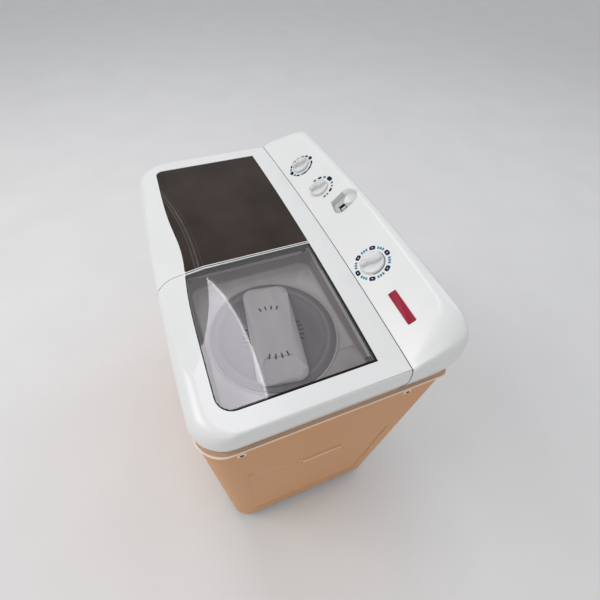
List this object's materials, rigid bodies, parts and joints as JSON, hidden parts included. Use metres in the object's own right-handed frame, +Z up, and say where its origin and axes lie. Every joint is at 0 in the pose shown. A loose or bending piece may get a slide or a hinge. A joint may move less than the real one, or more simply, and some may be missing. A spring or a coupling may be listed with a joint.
{
  "type": "twin tub washing machine",
  "caption": "Free-standing semi-automatic washer: wash tub with a pulsator on the left, spin basket on the right, hinged smoked lids, sloping control panel behind.",
  "frame": {"origin": "on the floor under the middle of the machine's bounding box", "axes": "+X towards the spin side, +Y towards the control panel, +Z up"},
  "size_m": [0.76, 0.484, 0.9275],
  "materials": {
    "white_top": "glossy",
    "lid_smoke": "glossy, see-through smoke",
    "pin_black": "satin",
    "tub_plastic": "semi-gloss",
    "cabinet_plastic": "satin",
    "base_black": "satin",
    "rubber_black": "matt",
    "steel_bright": "brushed",
    "motor_metal": "satin",
    "cast_light": "cast",
    "cover_grey": "semi-gloss",
    "basket_plastic": "semi-gloss",
    "duct_grey": "satin",
    "filter_blue": "satin",
    "film_can": "satin"
  },
  "bodies": {
    "machine": {"base_plate": "base_black", "feet": "rubber_black", "cabinet": "cabinet_plastic", "back_cover": "cover_grey", "back_cover_screws": "steel_bright", "rim_screws": "steel_bright", "wash_frame": "white_top", "spin_frame": "white_top", "control_panel": "white_top", "panel_rear_cover": "white_top", "panel_screws": "steel_bright", "lid_switch": "pin_black", "wash_timer": "pin_black", "drain_selector": "pin_black", "spin_timer": "pin_black", "water_channel": "tub_plastic", "water_inlet": "pin_black", "wash_tub": "tub_plastic", "overflow_duct": "tub_plastic", "gear_housing": "cast_light", "motor_bracket": "motor_metal", "wash_motor": "motor_metal", "drive_belt": "rubber_black", "drain_valve_body": "duct_grey", "drain_spigot": "pin_black", "spin_drain_pipe": "duct_grey", "spin_well": "tub_plastic", "spin_tub": "tub_plastic", "shaft_seal": "rubber_black", "spin_motor": "cast_light", "spin_motor_plate": "motor_metal", "spin_motor_springs": "rubber_black", "capacitors": "film_can", "cable_gland": "pin_black"},
    "wash_lid": {"wash_lid": "lid_smoke", "wash_lid_pins": "pin_black"},
    "spin_lid": {"spin_lid": "lid_smoke", "spin_lid_pins": "pin_black"},
    "wash_timer_knob": {"wash_timer_knob": "white_top"},
    "drain_selector_knob": {"drain_selector_knob": "white_top"},
    "spin_timer_knob": {"spin_timer_knob": "white_top"},
    "inlet_lever": {"inlet_lever": "white_top"},
    "lint_filter": {"lint_filter": "filter_blue"},
    "agitator": {"pulsator": "basket_plastic", "pulsator_shaft": "steel_bright", "wash_pulley": "cast_light"},
    "motor_pulley": {"motor_pulley": "pin_black"},
    "drain_plug": {"drain_plug": "rubber_black"},
    "inner_cover": {"spin_inner_cover": "cover_grey"},
    "spin_rotor": {"spin_basket": "basket_plastic", "spin_shaft": "steel_bright", "brake_drum": "motor_metal"},
    "brake_lever": {"brake_lever": "motor_metal"}
  },
  "joints": [
    {"name": "wash_lid_hinge", "type": "hinge", "parent": "machine", "child": "wash_lid", "pos_m": [-0.15, 0.0704, 0.8596], "axis": [-1, 0, 0], "range_deg": [0, 100]},
    {"name": "spin_lid_hinge", "type": "hinge", "parent": "machine", "child": "spin_lid", "pos_m": [0.193, 0.0704, 0.8596], "axis": [-1, 0, 0], "range_deg": [0, 100]},
    {"name": "wash_timer_turn", "type": "hinge", "parent": "machine", "child": "wash_timer_knob", "pos_m": [-0.203, 0.17109, 0.89246], "axis": [0, -0.5843, 0.8115], "range_deg": [-300, 0]},
    {"name": "drain_selector_turn", "type": "hinge", "parent": "machine", "child": "drain_selector_knob", "pos_m": [-0.096, 0.1733, 0.89246], "axis": [0, -0.5843, 0.8115], "range_deg": [-82, 0]},
    {"name": "spin_timer_turn", "type": "hinge", "parent": "machine", "child": "spin_timer_knob", "pos_m": [0.162, 0.16807, 0.88954], "axis": [0, -0.5843, 0.8115], "range_deg": [-300, 0]},
    {"name": "inlet_lever_slide", "type": "slide", "parent": "machine", "child": "inlet_lever", "axis": [1, 0, 0], "range_m": [-0.009, 0]},
    {"name": "lint_filter_lift", "type": "slide", "parent": "machine", "child": "lint_filter", "axis": [0, 0, 1], "range_m": [0, 0.06]},
    {"name": "agitator_spin", "type": "hinge", "parent": "machine", "child": "agitator", "pos_m": [-0.14975, -0.0485, 0.34], "axis": [0, 0, 1], "continuous": true},
    {"name": "motor_pulley_spin", "type": "hinge", "parent": "machine", "child": "motor_pulley", "pos_m": [-0.24181, 0.04749, 0.26], "axis": [0, 0, 1], "continuous": true},
    {"name": "drain_plug_lift", "type": "slide", "parent": "machine", "child": "drain_plug", "axis": [0, 0, 1], "range_m": [0, 0.016]},
    {"name": "inner_cover_lift", "type": "slide", "parent": "machine", "child": "inner_cover", "axis": [0, 0, 1], "range_m": [0, 0.03]},
    {"name": "spin_rotor_spin", "type": "hinge", "parent": "machine", "child": "spin_rotor", "pos_m": [0.19775, -0.0485, 0.34], "axis": [0, 0, 1], "continuous": true},
    {"name": "brake_lever_swing", "type": "hinge", "parent": "machine", "child": "brake_lever", "pos_m": [0.14775, -0.1325, 0.315], "axis": [0, 0, 1], "range_deg": [0, 3.2]}
  ],
  "couplings": [
    {"joint": "motor_pulley_spin", "follows": "agitator_spin", "ratio": 5.16},
    {"joint": "drain_selector_turn", "follows": "drain_plug_lift", "rad_per_m": -87.2},
    {"joint": "brake_lever_swing", "follows": "spin_lid_hinge", "ratio": 0.032}
  ]
}
